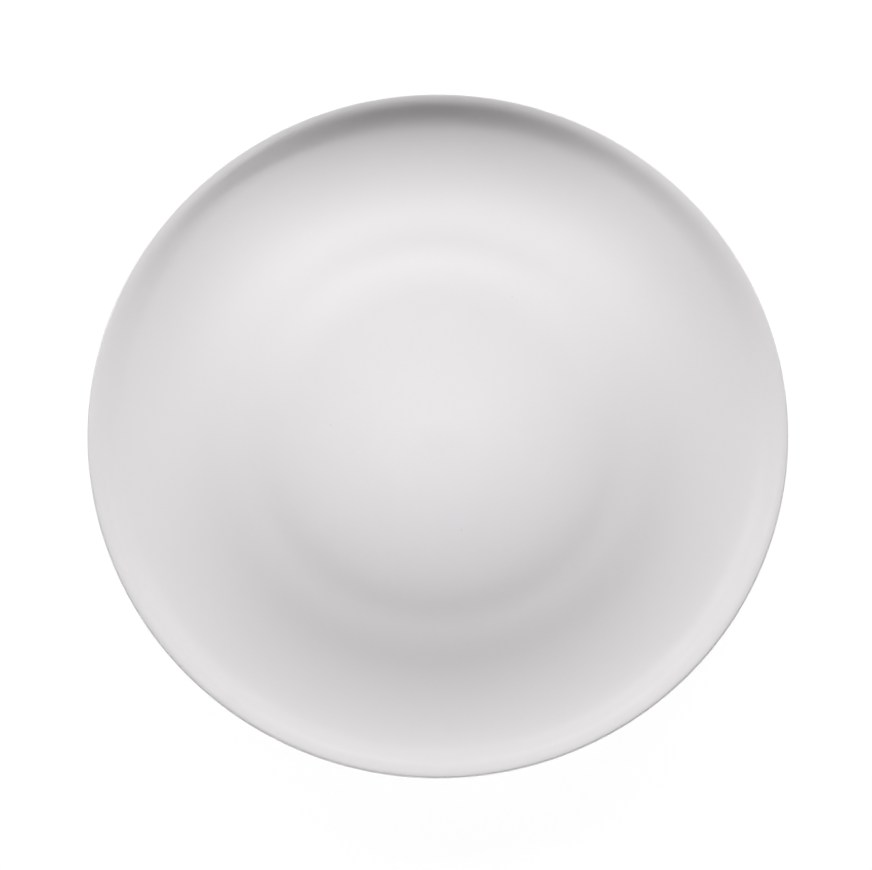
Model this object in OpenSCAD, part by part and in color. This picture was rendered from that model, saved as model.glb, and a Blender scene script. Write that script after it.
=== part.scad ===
// Coupe dessert plate in white porcelain: one pressed body with a foot ring,
// a glaze coat over the face, lip and back, and a second glaze coat inside the foot ring.
// Units are millimetres. Z is up, and the origin is on the table under the plate's centre.

/* [Overall] */
// Outside diameter over the lip
rim_d = 210; // [206:1:214]
// Height from the table to the top of the lip
plate_h = 19; // [18.5:0.5:20]

/* [Well] */
// Diameter of the flat middle of the well
well_flat_d = 88; // [76:1:96]
// Height of the flat middle above the shallow valley that rings it
well_crown = 0.65; // [0.4:0.05:0.9]
// Diameter of the valley, from which the wall rises
valley_d = 142; // [140:1:144]
// Thickness of the plate at the well, with both glaze coats
well_t = 4.5; // [4.2:0.1:4.8]

/* [Wall and lip] */
// Slope at which the lower arc of the wall meets the upper arc, in degrees
wall_slope = 24; // [23:1:25]
// Steepest slope of the wall, where it runs into the lip, in degrees
lip_slope = 54; // [52:1:56]
// Radius of the soft roll on the inside of the lip
lip_roll_r = 7.5; // [7:0.1:8]
// Slope that the roll still has where it meets the lip's upper edge, in degrees
lip_end_slope = 20; // [18:1:22]
// Radius of the lip's upper edge
lip_edge_r = 0.5; // [0.4:0.1:0.7]
// Height of the upright face between the lip's two edges
lip_face_h = 1; // [0.6:0.1:1.2]
// Radius of the lip's lower edge
lip_under_r = 2.5; // [2.3:0.1:2.7]

/* [Foot ring] */
// Outside diameter of the bare foot ring at the table
foot_d = 131; // [124:1:133]
// Width of the bare foot ring at the table, before its edges are rounded
foot_w = 3; // [2.6:0.1:4]
// Radius on the two edges that stand on the table
foot_edge_r = 0.6; // [0.3:0.1:0.8]
// Draft of the foot ring's flanks, in degrees from upright
foot_draft = 12; // [6:1:18]
// Depth of the recess inside the foot ring
recess_h = 3.2; // [2.8:0.1:3.6]
// Height of the back above the table where it meets the foot ring
back_h = 2.9; // [2.6:0.1:3.2]
// Slope of the back where it meets the foot ring, in degrees
back_slope = 4; // [2:1:6]
// Fillet between the back and the foot ring
back_fillet = 2.5; // [2:0.1:2.6]
// Fillet between the foot ring and the recess
recess_fillet = 2; // [1.5:0.1:2.4]

/* [Glaze] */
// Thickness of the glaze coats
glaze_t = 0.25; // [0.15:0.05:0.35]

/* [Hidden] */
porcelain = [0.93, 0.91, 0.88];
glaze = [0.96, 0.955, 0.95];
// Largest gap between an arc and the chords that stand for it
chord_error = 0.005;
// Sides of the turned solids in a preview
turn_sides = 240;

rim_r = rim_d / 2;
well_z = recess_h + well_t;
well_flat_r = well_flat_d / 2;
valley_r = valley_d / 2;
valley_z = well_z - well_crown;

// Direction at an angle, and the outward normals of the face and the back where they slope by s
function dir(a) = [cos(a), sin(a)];
function face_normal(s) = [-sin(s), cos(s)];
function back_normal(s) = -face_normal(s);

// Points along an arc, without its first point, which ends the line before it
function arc(c, r, a0, a1) =
    let (n = ceil(abs(a1 - a0) / (2 * acos(1 - chord_error / r))))
    [for (i = [1:n]) c + r * dir(a0 + (a1 - a0) * i / n)];

// Radii of two tangent arcs that together cover step = [dr, dz] while the slope goes from s0 by s1 to s2
function arc_pair(step, s0, s1, s2) =
    let (u = face_normal(s1) - face_normal(s0), v = face_normal(s2) - face_normal(s1))
    let (det = u[0] * v[1] - u[1] * v[0])
    [(step[1] * v[0] - step[0] * v[1]) / det, (step[0] * u[1] - step[1] * u[0]) / det];

function flip(line) = [for (i = [len(line) - 1:-1:0]) line[i]];

// The shoulder of the well: two equal arcs that drop by the crown, steepest half way
shoulder_slope = 2 * atan(well_crown / (valley_r - well_flat_r));
shoulder_r = (valley_r - well_flat_r) / (2 * sin(shoulder_slope));

// The lip: a soft roll, then a tight upper edge, an upright face and a rounder lower edge
lip_edge_c = [rim_r - lip_edge_r, plate_h - lip_edge_r];
lip_roll_c = lip_edge_c - (lip_roll_r - lip_edge_r) * face_normal(lip_end_slope);
lip_under_c = [rim_r - lip_under_r, lip_edge_c[1] - lip_face_h];

// The wall's face: a lower and an upper arc from the valley to the lip
face_end = lip_roll_c + lip_roll_r * face_normal(lip_slope);
face_r = arc_pair(face_end - [valley_r, valley_z], 0, wall_slope, lip_slope);
face_c1 = [valley_r, valley_z] + face_r[0] * face_normal(0);
face_c2 = face_end + face_r[1] * face_normal(lip_slope);

// The foot ring's two fillets, seen from their centres outside the clay
foot_r = foot_d / 2;
foot_in_r = foot_r - foot_w;
back_fillet_z = back_h - back_fillet * cos(back_slope);
back_fillet_c = [
    foot_r + back_fillet_z * tan(foot_draft) + (back_fillet + glaze_t) / cos(foot_draft),
    back_fillet_z
];
recess_fillet_z = recess_h - recess_fillet;
recess_fillet_c = [
    foot_in_r - recess_fillet_z * tan(foot_draft) - (recess_fillet + glaze_t) / cos(foot_draft),
    recess_fillet_z
];

// The wall's back: an upper and a lower arc from the lip to the foot ring's fillet
back_start = lip_under_c + lip_under_r * back_normal(lip_slope);
back_end = back_fillet_c + back_fillet * face_normal(back_slope);
back_r = arc_pair(back_start - back_end, back_slope, wall_slope, lip_slope);
back_c1 = back_end - back_r[0] * back_normal(back_slope);
back_c2 = back_start - back_r[1] * back_normal(lip_slope);

// Line of the face, lip and back, d below the finished surface, from the axis to the foot ring's outer flank
function outer_line(d) = concat(
    [[0, well_z - d], [well_flat_r, well_z - d]],
    arc([well_flat_r, well_z - shoulder_r], shoulder_r - d, 90, 90 - shoulder_slope),
    arc([valley_r, valley_z + shoulder_r], shoulder_r + d, 270 - shoulder_slope, 270),
    arc(face_c1, face_r[0] + d, 270, 270 + wall_slope),
    arc(face_c2, face_r[1] + d, 270 + wall_slope, 270 + lip_slope),
    arc(lip_roll_c, lip_roll_r - d, 90 + lip_slope, 90 + lip_end_slope),
    arc(lip_edge_c, lip_edge_r - d, 90 + lip_end_slope, 0),
    [lip_under_c + (lip_under_r - d) * dir(0)],
    arc(lip_under_c, lip_under_r - d, 0, lip_slope - 90),
    arc(back_c2, back_r[1] - d, 270 + lip_slope, 270 + wall_slope),
    arc(back_c1, back_r[0] - d, 270 + wall_slope, 270 + back_slope),
    arc(back_fillet_c, back_fillet + d, 90 + back_slope, 180 - foot_draft)
);

// Line of the recess, d below its finished surface, from the axis to the foot ring's inner flank
function recess_line(d) = concat(
    [[0, recess_h + d], [recess_fillet_c[0], recess_h + d]],
    arc(recess_fillet_c, recess_fillet + d, 90, foot_draft)
);

// Line of the bare clay that stands on the table, from the outer flank to the inner one
foot_edge_in = foot_edge_r * tan((90 - foot_draft) / 2);
foot_line = concat(
    arc([foot_r - foot_edge_in, foot_edge_r], foot_edge_r, -foot_draft, -90),
    [[foot_in_r + foot_edge_in, 0]],
    arc([foot_in_r + foot_edge_in, foot_edge_r], foot_edge_r, 270, 180 + foot_draft)
);

// A ring or disc turned from its half section
module turned(section) {
    rotate_extrude($fn = turn_sides) polygon(section);
}

// The fired clay: well, wall, lip and foot ring in one piece, bare only where it stands
module porcelain_body() {
    color(porcelain)
        turned(concat(outer_line(glaze_t), foot_line, flip(recess_line(glaze_t))));
}

// The glaze over the face, round the lip and down the back to the foot ring
module outer_glaze() {
    color(glaze)
        turned(concat(outer_line(0), flip(outer_line(glaze_t))));
}

// The disc of glaze inside the foot ring, cut off from the rest by the bare foot
module base_glaze() {
    color(glaze)
        turned(concat(recess_line(0), flip(recess_line(glaze_t))));
}

porcelain_body();
outer_glaze();
base_glaze();
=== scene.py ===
import math

import bpy
from mathutils import Matrix, Vector


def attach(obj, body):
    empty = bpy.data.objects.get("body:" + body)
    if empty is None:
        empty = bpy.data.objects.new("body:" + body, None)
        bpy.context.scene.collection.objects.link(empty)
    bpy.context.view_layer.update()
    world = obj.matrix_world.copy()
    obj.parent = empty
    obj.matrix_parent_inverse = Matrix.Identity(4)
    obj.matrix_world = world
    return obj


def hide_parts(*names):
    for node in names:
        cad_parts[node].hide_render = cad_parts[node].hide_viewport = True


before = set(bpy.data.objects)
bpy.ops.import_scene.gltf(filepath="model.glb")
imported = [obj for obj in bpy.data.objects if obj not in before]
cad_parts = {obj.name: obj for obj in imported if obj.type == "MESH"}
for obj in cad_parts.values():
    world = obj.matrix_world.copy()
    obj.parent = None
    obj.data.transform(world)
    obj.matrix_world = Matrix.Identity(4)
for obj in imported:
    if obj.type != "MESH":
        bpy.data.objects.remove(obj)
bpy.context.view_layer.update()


# The fired body
# Porcelain clay pressed in one piece on a turning mould: well, wall, lip and foot ring together.
# Fired hard and white, it stays bare only on the foot ring, which is wiped before firing and then ground.

# Half section of the finished plate, in metres: radii from the axis and heights above the table
rim_r = 0.105
plate_h = 0.019
glaze_t = 0.00025
wall_slope = math.radians(24)
lip_slope = math.radians(54)

# Lip: a soft roll on the inside, then a tight upper edge, an upright face and a rounder lower edge
lip_roll_r = 0.0075
lip_end_slope = math.radians(20)
lip_edge_r = 0.0005
lip_face_h = 0.001
lip_under_r = 0.0025

# Foot ring: bare flanks, the two fillets beside it, and the recess inside it
foot_r = 0.0655
foot_in_r = 0.0625
foot_edge_r = 0.0006
foot_draft = math.radians(12)
recess_h = 0.0032
back_h = 0.0029
back_slope = math.radians(4)
back_fillet = 0.0025
recess_fillet = 0.002

# Well: the pip that the mould leaves in the middle, the flat, the shoulder, and a faint ridge in the valley
pip_z = 0.00806
pip_r = 0.0042
pip_foot_r = 0.0085
well_flat_r = 0.0440
shoulder_r = 0.0540
ridge_inside_r = 0.0612
ridge_outside_r = 0.0660
valley_r = 0.071

# The slope of the well, in degrees, at each radius where one soft arc runs into the next
well_slopes = {
    pip_r: -4.8,
    pip_foot_r: 0,
    well_flat_r: 0,
    shoulder_r: -4.6,
    ridge_inside_r: 0.8,
    ridge_outside_r: -0.4,
    valley_r: 0,
}


def face_normal(slope):
    """The direction straight out of a face with this slope."""
    return Vector((-math.sin(slope), 0, math.cos(slope)))


def arc_pair(step, slopes):
    """Radii of two tangent arcs that cover a step while the slope goes from the first to the last."""
    first = face_normal(slopes[0]) - face_normal(slopes[1])
    second = face_normal(slopes[1]) - face_normal(slopes[2])
    area = first.x * second.z - first.z * second.x
    return (step.x * second.z - step.z * second.x) / area, (first.x * step.z - first.z * step.x) / area


# Each stretch of the section is a straight run, given as a vector, or a centre and the turn about it
face_line = []
pen = Vector((0, 0, pip_z))
slope = 0.0
for next_r, next_degrees in well_slopes.items():
    next_slope = math.radians(next_degrees)
    if next_slope == slope:
        stretch = Vector((next_r - pen.x, 0, 0))
        face_line.append((stretch, None))
        pen = pen + stretch
    else:
        bend_r = (next_r - pen.x) / (math.sin(next_slope) - math.sin(slope))
        centre = pen + bend_r * face_normal(slope)
        face_line.append((centre, next_slope - slope))
        pen = centre - bend_r * face_normal(next_slope)
    slope = next_slope

lip_edge = Vector((rim_r - lip_edge_r, 0, plate_h - lip_edge_r))
lip_roll = lip_edge - (lip_roll_r - lip_edge_r) * face_normal(lip_end_slope)
lip_under = Vector((rim_r - lip_under_r, 0, lip_edge.z - lip_face_h))
lip_inside = lip_roll + lip_roll_r * face_normal(lip_slope)
low_r, high_r = arc_pair(lip_inside - pen, (0, wall_slope, lip_slope))
face_line += [
    (pen + low_r * face_normal(0), wall_slope),
    (lip_inside + high_r * face_normal(lip_slope), lip_slope - wall_slope),
    (lip_roll, lip_end_slope - lip_slope),
    (lip_edge, -math.pi / 2 - lip_end_slope),
    (Vector((0, 0, -lip_face_h)), None),
    (lip_under, lip_slope - math.pi / 2),
]

# The back: two arcs down from the lip, then the fillet into the foot ring's outer flank
fillet_z = back_h - back_fillet * math.cos(back_slope)
fillet_out = (back_fillet + glaze_t) / math.cos(foot_draft) + fillet_z * math.tan(foot_draft)
fillet_centre = Vector((foot_r + fillet_out, 0, fillet_z))
back_foot = fillet_centre + back_fillet * face_normal(back_slope)
lip_outside = lip_under - lip_under_r * face_normal(lip_slope)
low_r, high_r = arc_pair(lip_outside - back_foot, (back_slope, wall_slope, lip_slope))
back_line = [
    (lip_outside + high_r * face_normal(lip_slope), wall_slope - lip_slope),
    (back_foot + low_r * face_normal(back_slope), back_slope - wall_slope),
    (fillet_centre, math.pi / 2 - foot_draft - back_slope),
]

# The recess: the fillet from the foot ring's inner flank, then flat to the axis
recess_z = recess_h - recess_fillet
recess_in = (recess_fillet + glaze_t) / math.cos(foot_draft) + recess_z * math.tan(foot_draft)
recess_centre = Vector((foot_in_r - recess_in, 0, recess_z))
recess_line = [
    (recess_centre, math.pi / 2 - foot_draft),
    (Vector((-recess_centre.x, 0, 0)), None),
]

# The bare foot: down the outer flank, round its edge, across the table, and up the inner flank
edge_in = foot_edge_r * math.tan((math.pi / 2 - foot_draft) / 2)
outer_edge = Vector((foot_r - edge_in, 0, foot_edge_r))
inner_edge = Vector((foot_in_r + edge_in, 0, foot_edge_r))
flank_out = Vector((math.cos(foot_draft), 0, -math.sin(foot_draft)))
flank_in = Vector((-math.cos(foot_draft), 0, -math.sin(foot_draft)))
outer_flank_top = fillet_centre - (back_fillet + glaze_t) * flank_out
inner_flank_top = recess_centre - (recess_fillet + glaze_t) * flank_in
foot_line = [
    (outer_edge + foot_edge_r * flank_out - outer_flank_top, None),
    (outer_edge, foot_draft - math.pi / 2),
    (inner_edge - outer_edge, None),
    (inner_edge, foot_draft - math.pi / 2),
    (inner_flank_top - (inner_edge + foot_edge_r * flank_in), None),
]


def turned_piece(name, pen, strokes, sides):
    """Draws a half section from its first point, each line at its own gap, then turns it about the axis."""
    widest_turn = math.radians(7.5)
    run_gap = 0.006
    weld_gap = 1e-6
    bpy.ops.object.select_all(action="DESELECT")
    bpy.ops.mesh.primitive_plane_add(size=glaze_t)
    piece = bpy.context.object
    piece.name = name
    piece.data.name = name
    bpy.ops.object.mode_set(mode="EDIT")
    bpy.ops.mesh.select_mode(type="VERT")
    bpy.ops.mesh.select_all(action="SELECT")
    bpy.ops.mesh.merge(type="CENTER")
    bpy.ops.transform.translate(value=pen)
    for line, ring_gap in strokes:
        for place, turn in line:
            if turn is None:
                steps = math.ceil(place.length / run_gap)
                for step in range(steps):
                    bpy.ops.mesh.extrude_region_move(TRANSFORM_OT_translate={"value": place / steps})
                pen = pen + place
            else:
                arm = pen - place
                steps = math.ceil(abs(turn) * max(arm.length / ring_gap, 1 / widest_turn))
                bpy.ops.mesh.spin(steps=steps, angle=turn, center=place, axis=(0, 1, 0))
                pen = place + Matrix.Rotation(-turn, 3, "Y") @ arm
    bpy.ops.mesh.select_all(action="SELECT")
    bpy.ops.mesh.spin(steps=sides, angle=math.tau, center=(0, 0, 0), axis=(0, 0, 1))
    bpy.ops.mesh.select_all(action="SELECT")
    bpy.ops.mesh.remove_doubles(threshold=weld_gap)
    bpy.ops.mesh.normals_make_consistent(inside=False)
    bpy.ops.object.mode_set(mode="OBJECT")
    bpy.ops.object.shade_smooth()
    return piece


# Gaps between the rings of the mesh, under the glaze and on the bare foot
hidden_gap = 0.004
bare_gap = 0.0003
body_sides = 240
fired_body = turned_piece(
    "fired_body",
    Vector((0, 0, pip_z - glaze_t)),
    [(face_line + back_line, hidden_gap), (foot_line, bare_gap), (recess_line, hidden_gap)],
    body_sides,
)


def set_range(node, source, target):
    """Sets the range that a Map Range node reads, and the range that it gives."""
    for key, number in zip(("From Min", "From Max", "To Min", "To Max"), (*source, *target)):
        node.inputs[key].default_value = number


class Finish:
    """A material's node tree, with one call for each node that is added to it."""

    def __init__(self, name):
        self.material = bpy.data.materials.new(name)
        self.material.use_nodes = True
        self.tree = self.material.node_tree
        self.shader = self.tree.nodes["Principled BSDF"]
        self.output = self.tree.nodes["Material Output"]
        self.place = self.add("ShaderNodeTexCoord").outputs["Object"]

    def add(self, kind, settings=None, **sockets):
        node = self.tree.nodes.new(kind)
        for key, value in (settings or {}).items():
            setattr(node, key, value)
        for key, value in sockets.items():
            self.feed(node.inputs[key], value)
        return node

    def feed(self, socket, value):
        if isinstance(value, bpy.types.NodeSocket):
            self.tree.links.new(value, socket)
        else:
            socket.default_value = value

    def sums(self, operation, first, second):
        node = self.add("ShaderNodeMath", {"operation": operation})
        self.feed(node.inputs[0], first)
        self.feed(node.inputs[1], second)
        return node.outputs[0]

    def grain(self, scale, detail, place=None):
        node = self.add("ShaderNodeTexNoise", Vector=place or self.place, Scale=scale, Detail=detail)
        return node.outputs["Fac"]

    def spread(self, value, source, target):
        node = self.add("ShaderNodeMapRange", {"interpolation_type": "SMOOTHSTEP"}, Value=value)
        set_range(node, source, target)
        return node.outputs["Result"]

    def blend(self, share, first, second):
        # A Mix node has sockets for each kind of value, and these are the ones for colours
        node = self.add("ShaderNodeMix", {"data_type": "RGBA"})
        self.feed(node.inputs[0], share)
        self.feed(node.inputs[6], first)
        self.feed(node.inputs[7], second)
        return node.outputs[2]

    def bump(self, height, depth, under=None):
        node = self.add("ShaderNodeBump", Height=height, Distance=depth)
        if under:
            self.feed(node.inputs["Normal"], under)
        return node.outputs["Normal"]


# Ground porcelain: cream and matt, with a sugary grain, rings from the grinding wheel and grey table scuffs
clay_cream = (0.80, 0.76, 0.69, 1)
clay_shade = (0.68, 0.63, 0.55, 1)
scuff_grey = (0.42, 0.41, 0.40, 1)
matt = (0.66, 0.86)
sugar_scale = 2400
sugar_depth = 0.00003
wheel_scale = 5200
wheel_depth = 0.00002
scuff_scale = 160
scuff_heights = (0.00003, 0.0004)
most_grain = (0.3, 0.7)
none_to_all = (0.0, 1.0)
all_to_none = (1.0, 0.0)

bare = Finish("bare_porcelain")
flat_place = bare.add("ShaderNodeVectorMath", {"operation": "MULTIPLY"})
bare.feed(flat_place.inputs[0], bare.place)
bare.feed(flat_place.inputs[1], (1, 1, 0))
from_axis = bare.add("ShaderNodeVectorMath", {"operation": "LENGTH"})
bare.feed(from_axis.inputs[0], flat_place.outputs[0])
ring_place = bare.add("ShaderNodeCombineXYZ", X=from_axis.outputs["Value"])
wheel_rings = bare.grain(wheel_scale, 3, ring_place.outputs[0])
sugar = bare.grain(sugar_scale, 3)
height_above = bare.add("ShaderNodeSeparateXYZ", Vector=bare.place).outputs["Z"]
on_table = bare.spread(height_above, scuff_heights, all_to_none)
scuffs = bare.spread(bare.grain(scuff_scale, 4), (0.52, 0.68), (0.0, 0.8))
rubbed = bare.sums("MULTIPLY", scuffs, on_table)
worn_rings = bare.sums("MULTIPLY", rubbed, bare.spread(wheel_rings, (0.35, 0.65), (0.2, 1.0)))
clay = bare.blend(bare.spread(sugar, most_grain, none_to_all), clay_cream, clay_shade)
bare.feed(bare.shader.inputs["Base Color"], bare.blend(worn_rings, clay, scuff_grey))
bare.feed(bare.shader.inputs["Roughness"], bare.spread(sugar, most_grain, matt))
sugar_bump = bare.bump(sugar, sugar_depth)
bare.feed(bare.shader.inputs["Normal"], bare.bump(wheel_rings, wheel_depth, sugar_bump))
fired_body.data.materials.append(bare.material)
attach(fired_body, "root")
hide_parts("porcelain_body")


# The glaze skin
# Clear glass over the white clay, melted on in one coat that runs across the face, round the lip and
# down the back. It ends in a soft bead just above the bare foot ring.

def walked_back(line):
    """The same stretches from the other end, for the side of a coat that lies on the clay."""
    return [(-place, None) if turn is None else (place, -turn) for place, turn in reversed(line)]


shown_gap = 0.0012
skin_sides = 288
skin_line = face_line + back_line
skin_bead = [(fillet_centre - (back_fillet + glaze_t / 2) * flank_out, -math.pi)]
glaze_skin = turned_piece(
    "glaze_skin",
    Vector((0, 0, pip_z)),
    [(skin_line, shown_gap), (skin_bead, glaze_t), (walked_back(skin_line), hidden_gap)],
    skin_sides,
)

# Fired white glaze with a satin gloss: warm and cool drifts too faint to name, a few fired-in specks, a
# trace of orange peel, and a thinner, creamier edge where it was wiped back from the foot
glaze_warm = (0.803, 0.782, 0.786, 1)
glaze_cool = (0.796, 0.778, 0.786, 1)
glaze_thin = (0.78, 0.74, 0.67, 1)
speck_grey = (0.50, 0.47, 0.44, 1)
satin = (0.42, 0.46)
satin_scale = 90
drift_scale = 26
speck_scale = 50
speck_reach = (0.008, 0.022)
speck_strength = 0.28
wiped_heights = (0.0005, 0.0016)
wiped_strength = 0.75
flow_scale = 45
flow_depth = 0.000004
peel_scale = 520
peel_depth = 0.0000008

glaze = Finish("white_glaze")
drift = glaze.spread(glaze.grain(drift_scale, 2), (0.35, 0.65), none_to_all)
coat = glaze.blend(drift, glaze_warm, glaze_cool)
speck_cells = glaze.add("ShaderNodeTexVoronoi", Vector=glaze.place, Scale=speck_scale)
specks = glaze.spread(speck_cells.outputs["Distance"], speck_reach, (speck_strength, 0.0))
coat = glaze.blend(specks, coat, speck_grey)
height_above = glaze.add("ShaderNodeSeparateXYZ", Vector=glaze.place).outputs["Z"]
wiped = glaze.spread(height_above, wiped_heights, (wiped_strength, 0.0))
glaze.feed(glaze.shader.inputs["Base Color"], glaze.blend(wiped, coat, glaze_thin))
glaze.feed(glaze.shader.inputs["Roughness"], glaze.spread(glaze.grain(satin_scale, 2), most_grain, satin))
flow = glaze.bump(glaze.grain(flow_scale, 1), flow_depth)
glaze.feed(glaze.shader.inputs["Normal"], glaze.bump(glaze.grain(peel_scale, 2), peel_depth, flow))
glaze_skin.data.materials.append(glaze.material)
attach(glaze_skin, "root")
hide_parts("outer_glaze")


# The glaze in the foot
# The disc of the same glaze inside the foot ring, cut off from the rest when the foot was wiped.
# It shows only from below, and takes the same finish as the skin.

recess_bead = [(recess_centre - (recess_fillet + glaze_t / 2) * flank_in, math.pi)]
foot_glaze = turned_piece(
    "foot_glaze",
    Vector((0, 0, recess_h)),
    [(walked_back(recess_line), shown_gap), (recess_bead, glaze_t), (recess_line, hidden_gap)],
    body_sides,
)
foot_glaze.data.materials.append(glaze.material)
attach(foot_glaze, "root")
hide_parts("base_glaze")


# The floor
# A plain white sheet under the plate. It shows white to the camera and in the gloss, and keeps a faint
# share of the plate's shadow. From below it lets the camera through.

floor_size = 40
paper_white = (0.8, 0.8, 0.8, 1)
shadow_grey = (0.12, 0.12, 0.12, 1)
shown_white = (0.955, 0.955, 0.955, 1)
bpy.ops.object.select_all(action="DESELECT")
bpy.ops.mesh.primitive_plane_add(size=floor_size)
floor = bpy.context.object
floor.name = "floor"
sheet = Finish("floor_white")
sheet.tree.nodes.remove(sheet.shader)
paper = sheet.add("ShaderNodeBsdfDiffuse", Color=paper_white)
shadow_share = sheet.add("ShaderNodeBsdfDiffuse", Color=shadow_grey)
white_share = sheet.add("ShaderNodeEmission", Color=shown_white, Strength=1.0)
shown = sheet.add("ShaderNodeAddShader")
sheet.feed(shown.inputs[0], shadow_share.outputs[0])
sheet.feed(shown.inputs[1], white_share.outputs[0])
light_path = sheet.add("ShaderNodeLightPath")
seen = sheet.sums("MAXIMUM", light_path.outputs["Is Camera Ray"], light_path.outputs["Is Glossy Ray"])
seen = sheet.sums("MAXIMUM", seen, light_path.outputs["Is Transmission Ray"])
top_side = sheet.add("ShaderNodeMixShader", Fac=seen)
sheet.feed(top_side.inputs[1], paper.outputs[0])
sheet.feed(top_side.inputs[2], shown.outputs[0])
underside = sheet.add("ShaderNodeBsdfTransparent")
facing_down = sheet.add("ShaderNodeNewGeometry").outputs["Backfacing"]
both_sides = sheet.add("ShaderNodeMixShader", Fac=facing_down)
sheet.feed(both_sides.inputs[1], top_side.outputs[0])
sheet.feed(both_sides.inputs[2], underside.outputs[0])
sheet.feed(sheet.output.inputs["Surface"], both_sides.outputs[0])
floor.data.materials.append(sheet.material)


# The light
# A wide softbox behind the plate gives the shading, and small gridded ones overhead the sheen in the well.
# Low gridded ones, narrow spots and a strip in front open up the wall and the near edge. The room is dim,
# with a white horizon behind the floor.

horizon_rise = (0.01, 0.06)
white_to_dim = (1.0, 0.02)
scene = bpy.context.scene
scene.view_settings.view_transform = "Standard"
world = bpy.data.worlds.new("studio")
scene.world = world
world.use_nodes = True
room = world.node_tree
sky = room.nodes["Background"]
direction = room.nodes.new("ShaderNodeTexCoord")
upward = room.nodes.new("ShaderNodeSeparateXYZ")
fade = room.nodes.new("ShaderNodeMapRange")
set_range(fade, horizon_rise, white_to_dim)
room.links.new(direction.outputs["Generated"], upward.inputs[0])
room.links.new(upward.outputs["Z"], fade.inputs["Value"])
room.links.new(fade.outputs["Result"], sky.inputs["Strength"])
sky.inputs["Color"].default_value = (1, 1, 1, 1)

lamp_distance = 0.50
strip_distance = 0.45
open_front = 180


def hang_softbox(name, tilt, bearing, aim, size, watts, fan=open_front, distance=lamp_distance):
    """Hangs a softbox, in degrees from overhead and from the back, with a grid that narrows its fan."""
    aside = math.radians(bearing)
    down = math.radians(tilt)
    toward = Vector((math.sin(down) * math.sin(aside), math.sin(down) * math.cos(aside), math.cos(down)))
    bpy.ops.object.light_add(type="AREA", location=distance * toward)
    softbox = bpy.context.object
    softbox.name = name
    softbox.rotation_euler = (distance * toward - Vector(aim)).to_track_quat("Z", "Y").to_euler()
    softbox.data.shape = "RECTANGLE"
    softbox.data.size, softbox.data.size_y = size
    softbox.data.spread = math.radians(fan)
    softbox.data.energy = watts
    softbox.visible_camera = False


back_size = (1.30, 0.20)
over_size = (0.30, 0.14)
low_size = (0.34, 0.28)
spot_size = (0.05, 0.05)
strip_size = (0.60, 0.012)
plate_middle = (0, 0, 0)
well_front = (0, -0.01, 0)
well_back = (0, 0.012, 0)
pip_front = (0, -0.003, pip_z)
hang_softbox("back_light", tilt=50, bearing=-6, aim=plate_middle, size=back_size, watts=4.25)
hang_softbox("top_light", tilt=4, bearing=0, aim=well_front, size=over_size, watts=0.013, fan=50)
hang_softbox("over_light", tilt=20, bearing=0, aim=well_back, size=over_size, watts=0.027, fan=40)
hang_softbox("middle_spot", tilt=10, bearing=0, aim=pip_front, size=spot_size, watts=0.0014, fan=12)

# Each lamp of a pair hangs on the other side of the plate from the wall that it lights
wall_z = 0.014
left = -1
right = 1
for side, hand, watts in (("left", left, 0.064), ("right", right, 0.056)):
    wall = (0.075 * hand, 0.06, wall_z)
    name = side + "_wall_light"
    hang_softbox(name, tilt=78, bearing=-92 * hand, aim=wall, size=low_size, watts=watts, fan=36)
for side, hand, watts in (("left", left, 0.0014), ("right", right, 0.0014)):
    back_wall = (0.067 * hand, 0.080, wall_z)
    name = side + "_back_spot"
    hang_softbox(name, tilt=30, bearing=-140 * hand, aim=back_wall, size=spot_size, watts=watts, fan=10)
for side, hand, watts in (("left", left, 0.0026), ("right", right, 0.0016)):
    side_wall = (0.0975 * hand, 0.01, wall_z)
    name = side + "_side_spot"
    hang_softbox(name, tilt=30, bearing=-96 * hand, aim=side_wall, size=spot_size, watts=watts, fan=18)

# The strip lies so low in front that it can't reach over the near lip
hang_softbox(
    "front_strip",
    tilt=89.3,
    bearing=180,
    aim=plate_middle,
    size=strip_size,
    watts=1.70,
    distance=strip_distance,
)


# The camera
# It looks down on the plate from the near side, about half a metre from it, as the photograph does.
# It is aimed a little off the axis, at the height of the lip.

camera_elevation = math.radians(78)
camera_distance = 0.525
camera_lens = 72.39
camera_aim = Vector((-0.00055, -0.00399, lip_edge.z))
bpy.ops.object.camera_add()
camera = bpy.context.object
camera.data.lens = camera_lens
camera_back = Vector((0, -math.cos(camera_elevation), math.sin(camera_elevation)))
camera.location = camera_aim + camera_distance * camera_back
camera.rotation_euler = (math.pi / 2 - camera_elevation, 0, 0)
scene.camera = camera
